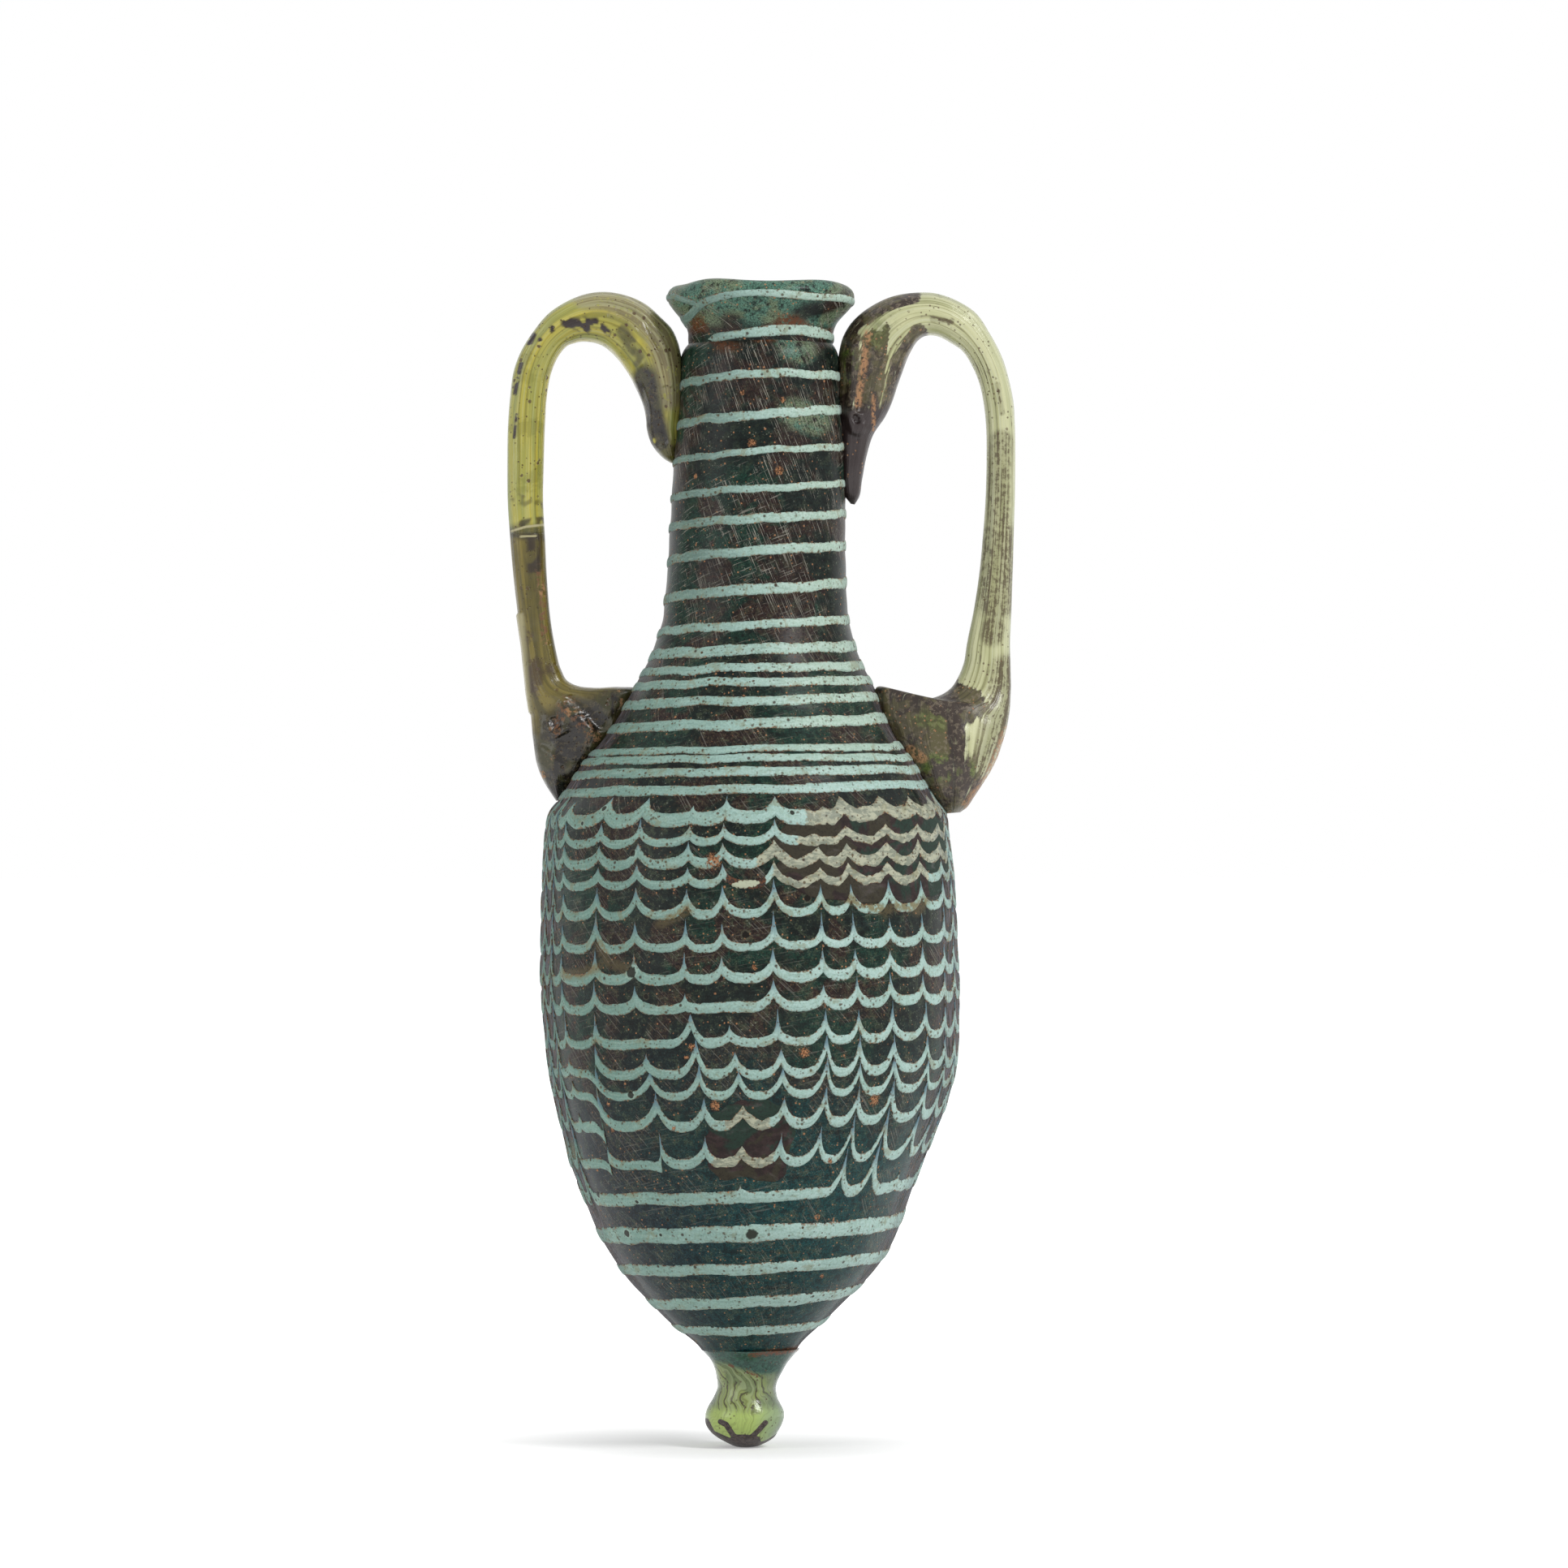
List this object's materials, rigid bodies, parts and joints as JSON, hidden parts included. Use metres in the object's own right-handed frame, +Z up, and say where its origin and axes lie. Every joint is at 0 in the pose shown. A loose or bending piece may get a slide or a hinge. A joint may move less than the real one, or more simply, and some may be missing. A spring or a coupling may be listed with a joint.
{
  "type": "amphoriskos",
  "caption": "Core-formed glass amphoriskos with a tall neck, two handles, a combed festoon trail and a knob base.",
  "frame": {"origin": "centre of the flat underside of the knob", "axes": "+Z up through the mouth, +X towards the right handle, -Y is the side seen in the picture"},
  "size_m": [0.0651, 0.0546, 0.1493],
  "materials": {
    "dark_glass": "glossy, nearly opaque, scratched and pitted",
    "rim_glass": "glossy, cloudy",
    "knob_glass": "glossy, cloudy",
    "left_handle_glass": "glossy, streaked",
    "right_handle_glass": "glossy, streaked",
    "turquoise_glass": "opaque, satin",
    "fill_paint": "matte, painted"
  },
  "bodies": {
    "root": {"vessel_wall": "dark_glass", "rim_disk": "rim_glass", "base_knob": "knob_glass", "handle_left_upper": "left_handle_glass", "handle_left_lower": "left_handle_glass", "handle_right": "right_handle_glass", "fill_shoulder": "fill_paint", "fill_belly": "fill_paint", "lower_trail": "turquoise_glass", "festoon_trail": "turquoise_glass", "shoulder_trail": "turquoise_glass", "neck_trail": "turquoise_glass", "rim_trail": "turquoise_glass"}
  },
  "joints": []
}
